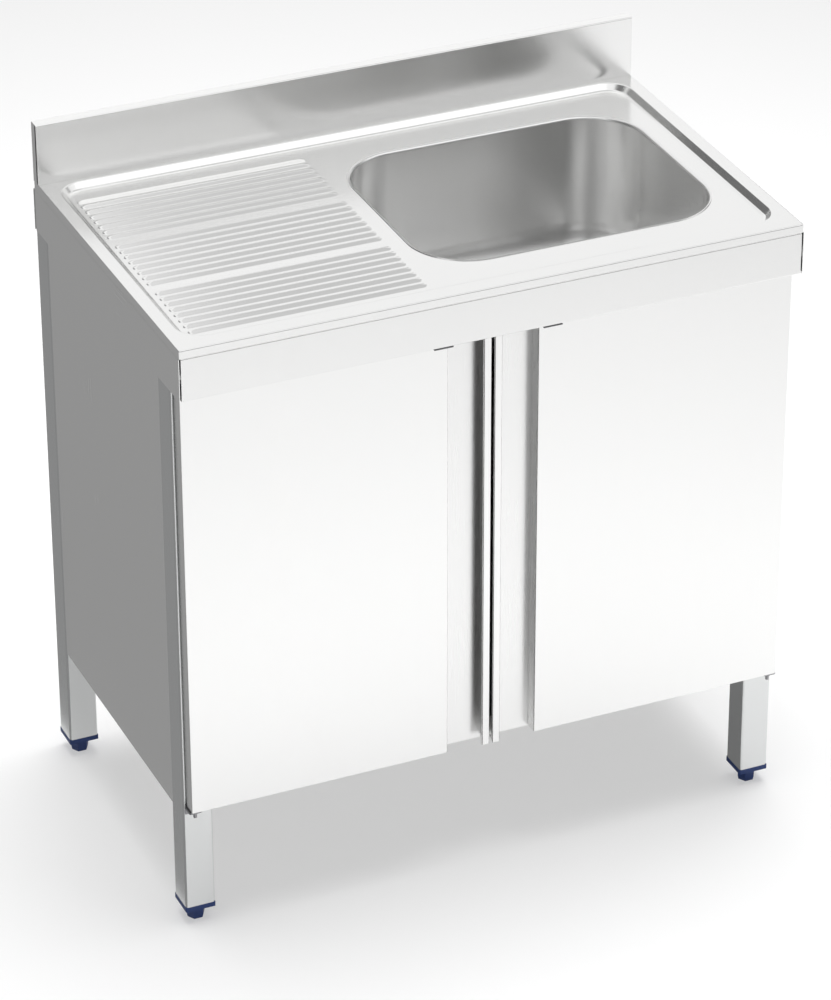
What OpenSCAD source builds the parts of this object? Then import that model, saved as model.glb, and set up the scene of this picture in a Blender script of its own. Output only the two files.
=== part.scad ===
// Stainless steel sink cabinet: a worktop with one pressed bowl, a ribbed drainer on the left
// and an upstand at the back, on a square-tube frame with two hinged doors.
// Millimetres. X to the right, the front faces -Y, Z up. The origin is on the floor, under the
// centre of the worktop's outline.

/* [Worktop] */
// Width over the side aprons
top_w = 900; // [880:1:1400]
// Depth from the front fascia to the rear apron
top_d = 550; // [540:1:700]
// Height of the flat rim above the floor
top_z = 914; // [870:1:960]
// Sheet of the worktop and its upstand
top_sheet = 1.2; // [1:0.1:1.5]
// Height of the worktop's turned-down edge
edge_drop = 12; // [10.7:0.1:14]
// Setback of the turned-down edge from the aprons' faces
edge_inset = 0.4; // [0.2:0.1:1]
// Setback of the worktop's rear edge from the rear apron's face
rear_inset = 2.4; // [2.2:0.1:4]
// Depth of the sunk area below the rim
recess = 9.5; // [8:0.1:10.5]
// Horizontal run of the sunk area's sloping wall
recess_run = 8.5; // [7:0.1:10]
// Corner radius of the sunk area at the rim
recess_r = 39; // [20:1:60]
// Rounding at the top and foot of the sloping wall
recess_round = 2.5; // [1:0.1:3]
// Width of the rim at each side
rim_side = 20; // [12:0.5:40]
// Width of the rim at the front
rim_front = 28; // [15:0.5:40]
// Width of the rim in front of the upstand
rim_rear = 8; // [5:0.5:20]

/* [Upstand] */
// Height of the upstand above the rim
upstand_h = 90; // [40:1:140]
// Thickness of the folded upstand, front face to back face
upstand_t = 18.6; // [15:0.1:30]
// Slot left open between each closing strip and the front sheet
upstand_slot = 4; // [2:0.1:8]
// Sheet of the closing strips
upstand_end_sheet = 1; // [0.8:0.1:1.5]

/* [Bowl] */
// Opening of the bowl along X, at the sunk floor
bowl_len = 446; // [300:1:450]
// Opening of the bowl along Y, at the sunk floor
bowl_wid = 361; // [300:1:380]
// Corner radius of the opening
bowl_r = 89; // [75:1:110]
// Distance from the sunk area's right edge to the opening
bowl_side = 37; // [25:1:60]
// Distance from the sunk area's front edge to the opening
bowl_front = 66; // [45:1:80]
// Depth of the bowl below the sunk floor
bowl_depth = 220; // [150:1:300]
// Radius of the rounded lip
bowl_lip = 3.5; // [2:0.1:6]
// Radius between the walls and the bottom
bowl_fillet = 58; // [20:1:60]
// Sheet of the bowl
bowl_sheet = 1; // [0.8:0.1:1.2]

/* [Drainer] */
// Groups of ribs
rib_groups = 3; // [1:1:3]
// Ribs in each group
group_ribs = 8; // [2:1:8]
// Distance from a group's last rib to the next group's first
group_gap = 31.1; // [20:0.1:34]
// Width of a rib
rib_w = 12; // [8:0.1:13]
// Height of a rib
rib_h = 2.1; // [1.5:0.1:3]
// Distance from the sunk area's left edge to the ribs' left ends
rib_side = 17; // [14:0.5:30]
// Distance from the ribs' right ends to the bowl's opening
rib_bowl_gap = 25; // [15:0.5:60]
// Distance from the sunk area's rear edge to the first rib's centre
rib_rear = 45; // [20:1:50]
// Distance from the sunk area's front edge to the last rib's centre
rib_front = 32; // [20:1:50]

/* [Fascia and aprons] */
// Height from the rim to the bottom of the fascia and aprons
apron_drop = 74; // [50:1:90]
// Sheet of the fascia and aprons
apron_sheet = 1; // [0.8:0.1:1.5]
// Thin line left open under the turned-down edge
edge_line = 0.2; // [0.2:0.05:0.6]
// Slot between the fascia and each side apron
fascia_slot = 2.2; // [1:0.1:4]
// Slot between the rear apron and each side apron
rear_slot = 5; // [2:0.1:8]
// Depth of the return along the fascia's bottom
return_depth = 18; // [12:0.5:18]
// Height of the return's inner flange
return_up = 15; // [10:0.5:25]

/* [Frame] */
// Side of the square leg tube
leg = 43; // [38:0.5:50]
// Wall of the leg tube
leg_wall = 1.5; // [1:0.1:2.5]
// Outer corner radius of the leg tube
leg_r = 3.5; // [2:0.1:5]
// Fit between the legs and the aprons lapped over them
leg_fit = 0.1; // [0.05:0.05:0.3]
// Distance from the fascia's face to the front legs' front plane
leg_setback = 40; // [40:0.5:60]
// Side of the square rail tube
rail = 25; // [20:1:30]
// Wall of the rail tube
rail_wall = 1.5; // [1:0.1:2.5]
// Outer corner radius of the rail tube
rail_r = 2.5; // [1.6:0.1:4]
// Width of a worktop stiffener
stiffener_w = 60; // [40:1:80]
// Height of a worktop stiffener
stiffener_h = 22; // [15:1:40]
// Distance of the stiffeners' centres from the ribs' middle
stiffener_offset = 90; // [60:1:110]

/* [Panels and shelf] */
// Sheet of the side, back and shelf panels
panel_sheet = 1; // [0.8:0.1:1.5]
// Setback of the panels' faces from the aprons' faces
panel_inset = 2.3; // [2:0.1:6]
// Height of the side and back panels' bottom edge above the floor
panel_z = 178; // [150:1:188]
// Depth of the panels' folded returns
panel_return = 15; // [10:0.5:25]
// Gap between folded sheets and the tubes they are welded to
weld_gap = 0.2; // [0.1:0.05:0.3]
// Height of the shelf's upper face above the floor
shelf_z = 224; // [215:1:300]
// Height of the shelf's turned-down edge
shelf_edge = 30; // [20:1:34]

/* [Doors] */
// Thickness of a door
door_t = 20; // [17:0.5:24]
// Gap between the doors' back plane and the front legs
door_clear = 2.5; // [2:0.1:4]
// Gap from the aprons' faces to the doors' outer edges
door_side = 5.5; // [4:0.1:8]
// Height of the doors' bottom edge above the floor
door_z = 197.5; // [190:0.5:212]
// Gap between the doors' top edge and the fascia
door_gap_top = 4; // [3.8:0.1:6]
// Gap between the two doors
door_gap_mid = 4; // [3:0.1:8]
// Sheet of the doors
door_sheet = 1; // [0.8:0.1:1.2]
// Outer radius of the doors' bends
door_bend = 2; // [1.5:0.1:3]
// Width of the edge strip
strip_w = 11.7; // [9:0.1:16]
// Length by which the edge strip passes the door's bottom
strip_drop = 2; // [0:0.1:4]
// Depth of the lip along the edge strip's free edge
strip_lip = 4.5; // [3:0.1:8]
// Width of the finger channel
channel_w = 51.7; // [35:0.1:60]
// Width of the skin's return behind the door
skin_return = 15; // [14:0.5:20]

/* [Hinges] */
// Distance of the pivot from the door's outer edge
pivot_in = 8; // [7.5:0.1:8.3]
// Distance of the pivot behind the door's front plane
pivot_back = 9.4; // [9:0.1:10]
// Diameter of the hinge pin
pin_d = 5; // [4:0.5:6]
// Radial running fit of the pin in its bush
pin_fit = 0.05; // [0.02:0.01:0.1]
// Length of the pin inside the door
pin_in = 12; // [8:0.5:20]
// Length of the bush past the pin's end
bush_over = 2; // [1:0.5:5]
// Outer diameter of the bush
bush_d = 9; // [8:0.1:10]
// Outer diameter of the bush's flange
bush_flange_d = 12; // [11:0.1:13]
// Gap between the door's edges and the hinge plates
hinge_gap = 1; // [0.8:0.1:1.5]
// Running gap between a bush's flange and its hinge plate
bush_play = 0.3; // [0.2:0.05:0.5]
// Width of a hinge bracket
bracket_w = 18; // [15:0.5:20]
// Sheet of a hinge bracket
bracket_t = 2.5; // [2:0.1:3]
// Height of the bracket's upright flange
bracket_flange = 13; // [10:0.5:16]
// Setback of the bracket's rounded edge from the doors' front plane
bracket_setback = 2.3; // [1.8:0.1:4]
// Distance from the pin's axis outwards to the middle of the bracket
bracket_shift = 1; // [0:0.1:2]
// Across flats of the pin's nut
nut_af = 8; // [7.5:0.5:9]
// Thickness of the pin's nut
nut_t = 2.7; // [2:0.1:4]
// Length of the pin beyond its nut
pin_end = 7; // [2:0.5:10]

/* [Catches] */
// Width of a catch plate
catch_w = 27.3; // [20:0.1:32]
// Sheet of a catch plate
catch_t = 1.8; // [1.2:0.1:2]
// Setback of the catch plate's edge from the fascia's face
catch_setback = 0.4; // [0.2:0.1:2]
// Gap between the catch plate and the front rail's plane
catch_back = 4; // [3:0.1:6]
// Height of the catch plate's hanging leg
catch_leg = 38; // [30:1:45]
// Height of the magnet block
magnet_h = 14; // [10:0.5:20]
// Height of the magnet block above the lower end of the leg
magnet_rise = 2; // [1:0.5:6]
// Setback of the magnet block's ends from the plate's ends
magnet_inset = 1; // [0:0.5:3]
// Gap between the magnet and its keeper
magnet_gap = 0.3; // [0.2:0.05:0.5]
// Thickness of the keeper plate
keeper_t = 1; // [0.8:0.1:1.2]
// Setback of the keeper's ends from the catch plate's ends
keeper_inset = 2; // [0:0.5:4]
// Diameter of a catch screw
catch_screw_d = 3; // [2.5:0.1:3.5]
// Depth of a catch screw in the magnet block
catch_screw_in = 2.5; // [1.5:0.1:2.8]
// Height of a catch screw's head
catch_head = 1.8; // [1:0.1:2.5]

/* [Feet] */
// Height of the foot's hexagon
foot_h = 21.7; // [15:0.1:30]
// Across flats of the foot's hexagon
foot_af = 23; // [18:0.5:30]
// Across flats of the foot where it meets the floor
foot_base_af = 21; // [16:0.5:28]
// Height of the foot's tapered end
foot_taper = 6; // [3:0.5:10]
// Diameter of the foot's stud
stud_d = 10; // [8:1:12]
// Length of stud left above the cap's plug when the foot is all the way out
stud_spare = 2.8; // [0:0.1:20]
// Radial running fit of the stud in its cap
stud_fit = 0.08; // [0.03:0.01:0.1]
// Travel of the foot out of the leg
foot_travel = 25; // [10:1:30]
// Gap between the hexagon and the cap at the stop
foot_gap = 0.2; // [0.1:0.05:0.3]
// Thickness of the cap's flange
cap_flange = 7; // [4:0.1:10]
// Projection of the cap's flange past the tube
cap_proud = 0.3; // [0:0.05:0.8]
// Corner radius of the cap's flange
cap_r = 1.5; // [1:0.1:3]
// Depth of the cap's plug inside the tube
cap_plug = 25; // [15:1:35]
// Gap between the plug and the tube
plug_gap = 0.15; // [0.1:0.05:0.3]

/* [Waste] */
// Outer diameter of the threaded outlet
outlet_d = 47.8; // [45:0.1:50]
// Bore of the outlet
outlet_bore = 40; // [34:0.5:42]
// Length of the outlet below the bowl
outlet_len = 58; // [45:1:80]
// Diameter of the waste's flange
waste_flange_d = 72; // [64:1:90]
// Thickness of the waste's flange
waste_flange_t = 2.5; // [2:0.1:4]
// Clearance of the outlet in the bowl's hole
waste_clear = 1; // [0.5:0.1:2]
// Thickness of the rubber gasket under the bowl
gasket_t = 3; // [2:0.1:5]
// Outer diameter of the gasket
gasket_d = 70; // [64:1:80]
// Thickness of the pressure washer
washer_t = 1.5; // [1:0.1:3]
// Outer diameter of the pressure washer
washer_d = 68; // [64:1:80]
// Radial fit of the gasket and the washer on the outlet
ring_fit = 0.2; // [0.1:0.05:0.5]
// Thickness of the locknut
locknut_t = 9; // [6:0.5:14]
// Across flats of the locknut
locknut_af = 62; // [58:1:70]
// Thickness of the strainer plate
strainer_t = 1.2; // [1:0.1:1.5]
// Width of the groove between the locknut and the outlet's free thread
outlet_groove = 1.5; // [1:0.1:3]
// Depth of that groove
groove_depth = 0.5; // [0.3:0.1:1]
// Radial width of the strainer outside the bore
strainer_lap = 3; // [2:0.1:5]
// Radial fit of the strainer in its seat
strainer_fit = 0.2; // [0.1:0.05:0.5]
// Diameter of a strainer hole
strainer_hole = 5; // [3:0.5:6]
// Holes in the strainer's ring
strainer_holes = 8; // [4:1:8]
// Radius of the ring of holes
strainer_ring = 14; // [11:0.5:14]

/* [Hidden] */
$fn = 48;

// Extra length of cuts past a face, and of solids that join inside each other
lap = 1;
// Hair-line clearance of cuts that run along a face
eps = 0.01;
fine_steps = 10;
small_steps = 4;
rib_steps = 3;
half_w = top_w/2;
half_d = top_d/2;

// Worktop levels and outline
floor_z = top_z - recess;
edge_x = half_w - edge_inset;
edge_y0 = -half_d + edge_inset;
edge_y1 = half_d - rear_inset;
upstand_y = edge_y1 - upstand_t;
tray_x = half_w - rim_side;
tray_y0 = -half_d + rim_front;
tray_y1 = upstand_y - rim_rear;

// Bowl outline and waste axis
bowl_x1 = tray_x - bowl_side;
bowl_x0 = bowl_x1 - bowl_len;
bowl_y0 = tray_y0 + bowl_front;
bowl_y1 = bowl_y0 + bowl_wid;
bowl_z = floor_z - bowl_depth;
drain_x = (bowl_x0 + bowl_x1)/2;
drain_y = (bowl_y0 + bowl_y1)/2;
drain_hole_d = outlet_d + 2*waste_clear;

// Ribs: the section is a segment of a circle
rib_arc = (rib_w*rib_w/4 + rib_h*rib_h)/(2*rib_h);
rib_x0 = -tray_x + rib_side;
rib_y0 = tray_y1 - rib_rear;
rib_len = bowl_x0 - rib_bowl_gap - rib_x0;
ribs_run = rib_y0 - tray_y0 - rib_front;
rib_pitch = (ribs_run - (rib_groups - 1)*group_gap)/(rib_groups*(group_ribs - 1));
group_step = (group_ribs - 1)*rib_pitch + group_gap;
ribs_mid = rib_x0 + rib_len/2;

// Apron and frame levels
apron_z = top_z - apron_drop;
apron_top = top_z - edge_drop - edge_line;
frame_inset = apron_sheet + leg_fit;
leg_x = half_w - frame_inset;
leg_y0 = -half_d + leg_setback;
leg_y1 = half_d - frame_inset;
leg_z = foot_h + foot_gap + cap_flange;
rail_top = floor_z - top_sheet;
rail_z = rail_top - rail;
rail_inset = edge_inset + top_sheet + edge_line;
rail_x = half_w - rail_inset;
rail_y1 = edge_y1 - top_sheet - edge_line;

// Panels
panel_x = half_w - panel_inset;
panel_y1 = half_d - panel_inset;

// Doors, for the left-hand one
door_y0 = leg_y0 - door_clear - door_t;
door_y1 = door_y0 + door_t;
door_x0 = -half_w + door_side;
door_x1 = -door_gap_mid/2;
strip_x0 = door_x1 - strip_w;
channel_x0 = strip_x0 - channel_w;
door_top = apron_z - door_gap_top;
liner_x0 = door_x0 + skin_return + weld_gap;

// Hinges
pivot_x = door_x0 + pivot_in;
pivot_y = door_y0 + pivot_back;
hinge_low = door_z - hinge_gap;
hinge_high = door_top + hinge_gap;
bracket_y0 = door_y0 + bracket_setback;
bracket_x0 = pivot_x - bracket_shift - bracket_w/2;
pin_tail = bracket_t + nut_t + pin_end;

// Catches
catch_x1 = channel_x0;
catch_x0 = catch_x1 - catch_w;
catch_y1 = leg_y0 + catch_back;
keeper_y1 = door_y1 + keeper_t;
magnet_z = apron_z - catch_leg + magnet_rise;

// Waste
strainer_r = outlet_bore/2 + strainer_lap;
nut_stack = bowl_sheet + gasket_t + washer_t + locknut_t;

// Feet
stud_len = foot_gap + cap_flange + cap_plug + foot_travel + stud_spare;
foot_x = leg_x - leg/2;
foot_y0 = leg_y0 + leg/2;
foot_y1 = leg_y1 - leg/2;

steel = [0.80, 0.81, 0.82];
steel_light = [0.88, 0.89, 0.90];
steel_dark = [0.62, 0.63, 0.65];
navy = [0.11, 0.18, 0.37];
brass = [0.78, 0.66, 0.36];
rubber = [0.13, 0.13, 0.14];
graphite = [0.40, 0.40, 0.41];

// Rounded rectangle from corner to corner
module rrect(x0, x1, y0, y1, r) {
  translate([x0 + r, y0]) square([x1 - x0 - 2*r, y1 - y0]);
  translate([x0, y0 + r]) square([x1 - x0, y1 - y0 - 2*r]);
  for (x = [x0 + r, x1 - r], y = [y0 + r, y1 - r])
    translate([x, y]) circle(r);
}

// Box from corner to corner
module box(x0, x1, y0, y1, z0, z1)
  translate([x0, y0, z0]) cube([x1 - x0, y1 - y0, z1 - z0]);

// Sweeps a section round a rounded rectangle. The section's x is the distance outwards from
// the corner centres, so r is the outline itself, and its y is the height.
module sweep_round(x0, x1, y0, y1, r) {
  for (c = [[x1 - r, y1 - r, 0], [x0 + r, y1 - r, 90], [x0 + r, y0 + r, 180], [x1 - r, y0 + r, 270]]) {
    run = c[2] % 180 == 0 ? y1 - y0 - 2*r : x1 - x0 - 2*r;
    translate([c[0], c[1], 0]) rotate([0, 0, c[2]]) {
      rotate_extrude(angle = 90) children();
      rotate([90, 0, 0]) linear_extrude(run) children();
    }
  }
}

// Points of an arc about a centre, from one angle to another
function arc(cx, cy, r, a0, a1, steps) = [for (i = [0:steps])
  let (a = a0 + (a1 - a0)*i/steps) [cx + r*cos(a), cy + r*sin(a)]];

// Square tube standing along Z
module tube_z(x0, y0, side, wall, r, z0, z1)
  translate([0, 0, z0]) linear_extrude(z1 - z0) difference() {
    rrect(x0, x0 + side, y0, y0 + side, r);
    rrect(x0 + wall, x0 + side - wall, y0 + wall, y0 + side - wall, r - wall);
  }

// Square tube lying along +X from the origin
module tube_x(len, side, wall, r)
  rotate([90, 0, 90]) linear_extrude(len) difference() {
    rrect(0, side, 0, side, r);
    rrect(wall, side - wall, wall, side - wall, r - wall);
  }

module on_right() mirror([1, 0, 0]) children();

// Section of the sunk area's sloping wall, rounded at its top and foot
module recess_section() {
  slope = atan2(recess, recess_run);
  t = recess_round*tan(slope/2);
  top = arc(recess_r + t, top_z - recess_round, recess_round, 90, 90 + slope, small_steps);
  foot = arc(recess_r - recess_run - t, floor_z + recess_round, recess_round, slope - 90, -90, small_steps);
  upper = concat(top, foot);
  lower = [for (i = [len(upper) - 1:-1:0]) [upper[i][0], upper[i][1] - top_sheet]];
  polygon(concat(upper, lower));
}

// One rib: a straight run with a round end at each side, from inside the sheet up to rib_h above
// the sunk floor. Its section is a segment of a circle.
module rib() {
  low = -top_sheet/2;
  centre = rib_h - rib_arc;
  a0 = asin((low - centre)/rib_arc);
  side = arc(0, centre, rib_arc, a0, 90, rib_steps);
  mirrored = [for (i = [rib_steps - 1:-1:0]) [-side[i][0], side[i][1]]];
  x0 = rib_w/2;
  x1 = rib_len - rib_w/2;
  translate([x0, 0, 0]) rotate([90, 0, 90]) linear_extrude(x1 - x0) polygon(concat(side, mirrored));
  for (e = [[x0, 90], [x1, -90]])
    translate([e[0], 0, 0]) rotate([0, 0, e[1]]) rotate_extrude(angle = 180)
      polygon(concat(side, [[0, low]]));
}

// Pressed worktop: rim, sloping wall, sunk floor with the bowl opening, ribs, turned-down edge
module worktop() {
  grow = recess_round*tan(atan2(recess, recess_run)/2);
  foot = recess_run + grow;
  color(steel_light) {
    translate([0, 0, top_z - top_sheet]) linear_extrude(top_sheet) difference() {
      translate([-edge_x, edge_y0]) square([2*edge_x, edge_y1 - edge_y0]);
      rrect(-tray_x - grow, tray_x + grow, tray_y0 - grow, tray_y1 + grow, recess_r + grow);
    }
    sweep_round(-tray_x, tray_x, tray_y0, tray_y1, recess_r) recess_section();
    translate([0, 0, floor_z - top_sheet]) linear_extrude(top_sheet) difference() {
      rrect(-tray_x + foot, tray_x - foot, tray_y0 + foot, tray_y1 - foot, recess_r - foot);
      rrect(bowl_x0, bowl_x1, bowl_y0, bowl_y1, bowl_r);
    }
    translate([0, 0, top_z - edge_drop]) linear_extrude(edge_drop - top_sheet) difference() {
      translate([-edge_x, edge_y0]) square([2*edge_x, edge_y1 - edge_y0]);
      translate([-edge_x + top_sheet, edge_y0 + top_sheet])
        square([2*(edge_x - top_sheet), edge_y1 - edge_y0 - 2*top_sheet]);
    }
    for (g = [0:rib_groups - 1], k = [0:group_ribs - 1])
      translate([rib_x0, rib_y0 - g*group_step - k*rib_pitch, floor_z]) rib();
  }
}

// Upstand: front sheet, top return and back sheet folded from one strip
module upstand() color(steel) {
  translate([-edge_x, 0, 0]) rotate([90, 0, 90]) linear_extrude(2*edge_x) {
    translate([upstand_y, top_z]) square([top_sheet, upstand_h]);
    translate([upstand_y, top_z + upstand_h - top_sheet]) square([upstand_t, top_sheet]);
    translate([edge_y1 - top_sheet, top_z]) square([top_sheet, upstand_h]);
  }
}

module upstand_end_left() color(steel_light)
  box(-edge_x, -edge_x + upstand_end_sheet, upstand_y + top_sheet + upstand_slot, edge_y1 - top_sheet,
    top_z, top_z + upstand_h - top_sheet);
module upstand_end_right() on_right() upstand_end_left();

// Section of the bowl's lip, wall and bottom radius
module bowl_section() {
  wall = bowl_r - bowl_lip;
  low = bowl_z + bowl_fillet;
  polygon(concat(
    arc(bowl_r, floor_z - bowl_lip, bowl_lip, 90, 180, small_steps),
    arc(wall - bowl_fillet, low, bowl_fillet, 0, -90, fine_steps),
    arc(wall - bowl_fillet, low, bowl_fillet + bowl_sheet, -90, 0, fine_steps),
    arc(bowl_r, floor_z - bowl_lip, bowl_lip - bowl_sheet, 180, 90, small_steps)));
}

// Deep-drawn bowl, welded into the worktop's opening
module bowl() {
  inset = bowl_lip + bowl_fillet;
  color(steel) {
    sweep_round(bowl_x0, bowl_x1, bowl_y0, bowl_y1, bowl_r) bowl_section();
    translate([0, 0, bowl_z - bowl_sheet]) linear_extrude(bowl_sheet) difference() {
      rrect(bowl_x0 + inset, bowl_x1 - inset, bowl_y0 + inset, bowl_y1 - inset, bowl_r - inset);
      translate([drain_x, drain_y]) circle(drain_hole_d/2);
    }
  }
}

// Front fascia: face, upper flange back to the front rail, and the return along the bottom
module fascia_front() {
  x = half_w - apron_sheet - fascia_slot;
  y0 = -half_d;
  color(steel_light) translate([-x, 0, 0]) rotate([90, 0, 90]) linear_extrude(2*x) {
    translate([y0, apron_z]) square([apron_sheet, apron_top - apron_z]);
    translate([y0, apron_top - apron_sheet]) square([leg_setback - weld_gap, apron_sheet]);
    translate([y0, apron_z]) square([return_depth, apron_sheet]);
    translate([y0 + return_depth - apron_sheet, apron_z]) square([apron_sheet, return_up]);
  }
}

// Side apron, lapped over the outer faces of its two legs
module apron_left() color(steel)
  box(-half_w, -half_w + apron_sheet, -half_d, half_d - apron_sheet - rear_slot, apron_z, apron_top);
module apron_right() on_right() apron_left();

module apron_rear() color(steel)
  box(-half_w, half_w, half_d - apron_sheet, half_d, apron_z, apron_top);

// Hat-shaped stiffener under the drainer, from the front rail to the rear rail
module stiffener(x) {
  y0 = leg_y0 + rail + weld_gap;
  run = rail_y1 - rail - weld_gap - y0;
  flange = stiffener_w/4;
  color(steel_dark) translate([x, y0 + run, rail_top]) rotate([90, 0, 0]) linear_extrude(run) {
    translate([-stiffener_w/4, -stiffener_h]) square([stiffener_w/2, top_sheet]);
    for (s = [-1, 1]) {
      translate([s*flange - top_sheet/2, -stiffener_h]) square([top_sheet, stiffener_h]);
      translate([s > 0 ? flange : -2*flange, -top_sheet]) square([flange, top_sheet]);
    }
  }
}
module stiffener_left() stiffener(ribs_mid - stiffener_offset);
module stiffener_right() stiffener(ribs_mid + stiffener_offset);

module leg_front_left() color(steel) tube_z(-leg_x, leg_y0, leg, leg_wall, leg_r, leg_z, apron_top);
module leg_front_right() on_right() leg_front_left();
module leg_rear_left() color(steel) tube_z(-leg_x, leg_y1 - leg, leg, leg_wall, leg_r, leg_z, apron_top);
module leg_rear_right() on_right() leg_rear_left();

// Rails between the legs, carrying the worktop's sunk floor
module rail_front() {
  run = 2*(leg_x - leg);
  color(steel_dark) translate([-run/2, leg_y0, rail_z]) tube_x(run, rail, rail_wall, rail_r);
}
module rail_rear() {
  run = 2*(leg_x - leg);
  color(steel_dark) translate([-run/2, rail_y1 - rail, rail_z]) tube_x(run, rail, rail_wall, rail_r);
}
module rail_left() {
  run = leg_y1 - leg_y0 - 2*leg;
  color(steel_dark) translate([-rail_x + rail, leg_y0 + leg, rail_z]) rotate([0, 0, 90])
    tube_x(run, rail, rail_wall, rail_r);
}
module rail_right() on_right() rail_left();

// Folded panel lying in the XZ plane: its face is at y = 0 and its returns run towards -Y
module panel(x0, x1, z0, z1) {
  box(x0, x1, -panel_sheet, 0, z0, z1);
  for (x = [x0, x1 - panel_sheet]) box(x, x + panel_sheet, -panel_return, 0, z0, z1);
  for (z = [z0, z1 - panel_sheet]) box(x0, x1, -panel_return, 0, z, z + panel_sheet);
}

// Side panel between the legs, up behind the apron to the underside of the side rail
module side_panel_left() {
  y0 = leg_y0 + leg + weld_gap;
  y1 = leg_y1 - leg - weld_gap;
  color(steel) translate([-panel_x, 0, 0]) rotate([0, 0, 90]) panel(y0, y1, panel_z, rail_z - weld_gap);
}
module side_panel_right() on_right() side_panel_left();

module back_panel() {
  x = leg_x - leg - weld_gap;
  color(steel) translate([0, panel_y1, 0]) panel(-x, x, panel_z, rail_z - weld_gap);
}

// Bottom shelf: a plate with a turned-down edge, notched round the four legs and round the
// returns of the side and back panels
module shelf_plan(inset) {
  edge = weld_gap + inset;
  past_return = weld_gap + panel_sheet + edge;
  x = panel_x - panel_sheet - edge;
  y0 = leg_y0 + edge;
  y1 = panel_y1 - panel_sheet - edge;
  between_legs = leg_x - leg - edge;
  translate([-between_legs, y0]) square([2*between_legs, panel_y1 - panel_return - edge - y0]);
  rear_x = leg_x - leg - past_return;
  translate([-rear_x, y0]) square([2*rear_x, y1 - y0]);
  side_y0 = leg_y0 + leg + past_return;
  side_y1 = leg_y1 - leg - past_return;
  translate([-x, side_y0]) square([2*x, side_y1 - side_y0]);
}
module shelf() color(steel_dark) {
  translate([0, 0, shelf_z - panel_sheet]) linear_extrude(panel_sheet) shelf_plan(0);
  translate([0, 0, shelf_z - shelf_edge]) linear_extrude(shelf_edge - panel_sheet) difference() {
    shelf_plan(0);
    shelf_plan(panel_sheet);
  }
}

// Outer skin of a door in plan: front, outer edge with its return, and the channel's flank
module skin_outline(inset)
  rrect(door_x0 + inset, channel_x0 - inset, door_y0 + inset, door_y1 - inset, door_bend - inset);
module skin_back()
  translate([door_x0 + skin_return, door_y1 - door_sheet]) square([channel_x0 - door_x0, door_sheet + eps]);
module door_left_skin() {
  hole = bush_d/2 + eps;
  color(steel_light) difference() {
    union() {
      translate([0, 0, door_z]) linear_extrude(door_top - door_z) difference() {
        skin_outline(0);
        skin_outline(door_sheet);
        skin_back();
      }
      for (z = [door_z, door_top - door_sheet]) translate([0, 0, z]) linear_extrude(door_sheet)
        difference() {
          skin_outline(0);
          skin_back();
        }
    }
    for (z = [door_z, door_top - door_sheet])
      translate([pivot_x, pivot_y, z - lap]) cylinder(r = hole, h = door_sheet + 2*lap);
  }
}

// Back sheet of a door, which is the floor of the finger channel too
module door_left_liner() color(steel)
  box(liner_x0, door_x1, door_y1 - door_sheet, door_y1, door_z, door_top);

// Edge strip beyond the finger channel: a face, a flank along the meeting edge back to the liner,
// and a short lip along the free edge, which the fingers hook behind
module door_left_strip() {
  z0 = door_z - strip_drop;
  color(steel_light) translate([0, 0, z0]) linear_extrude(door_top - z0) difference() {
    rrect(strip_x0, door_x1, door_y0, door_y1, door_bend);
    rrect(strip_x0 + door_sheet, door_x1 - door_sheet, door_y0 + door_sheet, door_y1 + door_sheet,
      door_bend - door_sheet);
    translate([strip_x0 - eps, door_y1 - door_sheet]) square([strip_w + 2*eps, door_sheet + eps]);
    translate([strip_x0 - eps, door_y0 + strip_lip]) square([door_sheet + 2*eps, door_t - strip_lip]);
  }
}

// Flanged bush, with its flange under the door's edge
module bush() {
  flange_t = hinge_gap - bush_play;
  top = pin_in + bush_over;
  difference() {
    union() {
      translate([0, 0, -flange_t]) cylinder(d = bush_flange_d, h = flange_t);
      cylinder(d = bush_d, h = top);
    }
    translate([0, 0, -flange_t - lap]) cylinder(r = pin_d/2 + pin_fit, h = top + flange_t + 2*lap);
  }
}
module door_left_bushes() color(brass) {
  translate([pivot_x, pivot_y, door_z]) bush();
  translate([pivot_x, pivot_y, door_top]) mirror([0, 0, 1]) bush();
}

// Keeper plate on the back of the door, facing the magnet
module door_left_keeper() color(steel_dark)
  box(catch_x0 + keeper_inset, catch_x1 - keeper_inset, door_y1, keeper_y1, magnet_z, magnet_z + magnet_h);

module door_right_skin() on_right() door_left_skin();
module door_right_liner() on_right() door_left_liner();
module door_right_strip() on_right() door_left_strip();
module door_right_bushes() on_right() door_left_bushes();
module door_right_keeper() on_right() door_left_keeper();

// Hinge bracket, its plate's bearing face at z = 0 and its body below: a plate with a rounded
// front edge and a flange welded to the leg
module hinge_bracket() {
  y1 = leg_y0;
  color(steel_light) difference() {
    union() {
      translate([0, 0, -bracket_t]) linear_extrude(bracket_t)
        rrect(bracket_x0, bracket_x0 + bracket_w, bracket_y0, y1, bracket_t);
      box(bracket_x0, bracket_x0 + bracket_w, y1 - bracket_t, y1, -bracket_flange + hinge_gap, 0);
    }
    translate([pivot_x, pivot_y, -bracket_t - lap]) cylinder(d = pin_d, h = bracket_t + 2*lap);
  }
}
module hinge_bottom_left() translate([0, 0, hinge_low]) hinge_bracket();
module hinge_bottom_right() on_right() hinge_bottom_left();
module hinge_top_left() translate([0, 0, hinge_high]) mirror([0, 0, 1]) hinge_bracket();
module hinge_top_right() on_right() hinge_top_left();

// Places its children on both hinges of both doors, with z = 0 on the plate's bearing face
module at_hinges()
  for (s = [0, 1]) mirror([s, 0, 0]) translate([pivot_x, pivot_y, 0]) {
    translate([0, 0, hinge_low]) children();
    translate([0, 0, hinge_high]) mirror([0, 0, 1]) children();
  }

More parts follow.
